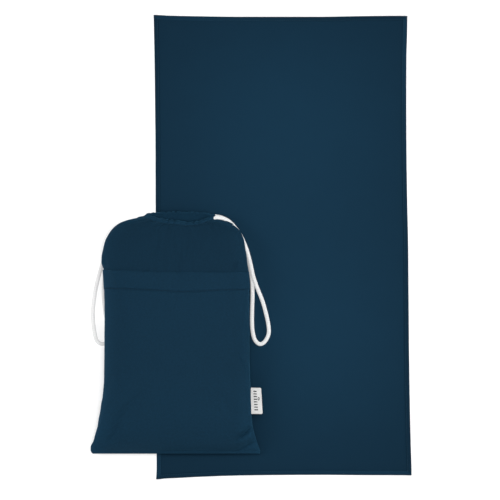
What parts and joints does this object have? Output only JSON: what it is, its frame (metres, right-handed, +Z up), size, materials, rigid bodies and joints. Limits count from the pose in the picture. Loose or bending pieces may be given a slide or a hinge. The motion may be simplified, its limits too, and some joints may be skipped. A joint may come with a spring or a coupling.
{
  "type": "quick dry towel with drawstring pouch",
  "caption": "Thin quick-drying towel spread flat, with its filled drawstring pouch, front pocket, drawcords and side label lying on its lower left.",
  "frame": {"origin": "middle of the spread towel's underside, on the surface it lies on", "axes": "+Z up from the surface, +Y along the towel's length away from the end the pouch lies at, +X across its width"},
  "size_m": [0.4809, 0.6984, 0.0512],
  "materials": {
    "towel_cloth": "smooth brushed microfibre, navy teal",
    "towel_hem": "turned and stitched microfibre edge",
    "pouch_cloth": "finely woven matching cloth",
    "navy_thread": "polyester sewing thread",
    "white_cord": "soft round braided cord, white",
    "label_tape": "off-white woven satin tape"
  },
  "bodies": {
    "towel": {"towel_sheet": "towel_cloth", "towel_hem_left": "towel_hem", "towel_hem_right": "towel_hem", "towel_hem_bottom": "towel_hem", "towel_hem_stitching": "navy_thread"},
    "towel_flap": {"flap_sheet": "towel_cloth", "flap_hem_left": "towel_hem", "flap_hem_right": "towel_hem", "flap_hem_top": "towel_hem", "flap_hem_stitching": "navy_thread"},
    "pouch": {"pouch_front_panel": "pouch_cloth", "pouch_back_panel": "pouch_cloth", "pocket_panel": "pouch_cloth", "pocket_hem_band": "pouch_cloth", "pocket_stitching": "navy_thread", "packed_towel": "towel_cloth", "casing_front": "pouch_cloth", "casing_back": "pouch_cloth"},
    "right_cord": {"right_drawcord": "white_cord"},
    "left_cord": {"left_drawcord": "white_cord"},
    "label": {"side_label": "label_tape"}
  },
  "joints": [
    {"name": "towel_fold", "type": "hinge", "parent": "towel", "child": "towel_flap", "pos_m": [0, 0.21025, 0.0027], "axis": [1, 0, 0], "range_deg": [0, 180]},
    {"name": "pouch_lift", "type": "slide", "parent": "towel", "child": "pouch", "axis": [0, 0, 1], "range_m": [0, 0.12]},
    {"name": "right_cord_pull", "type": "slide", "parent": "pouch", "child": "right_cord", "axis": [1, 0, 0], "range_m": [0, 0.03]},
    {"name": "left_cord_pull", "type": "slide", "parent": "pouch", "child": "left_cord", "axis": [-1, 0, 0], "range_m": [0, 0.03]},
    {"name": "label_flap", "type": "hinge", "parent": "pouch", "child": "label", "pos_m": [-0.0446, -0.2332, 0.02135], "axis": [0, -1, 0], "range_deg": [-45, 80], "stiffness_Nm_per_rad": 0.002}
  ]
}
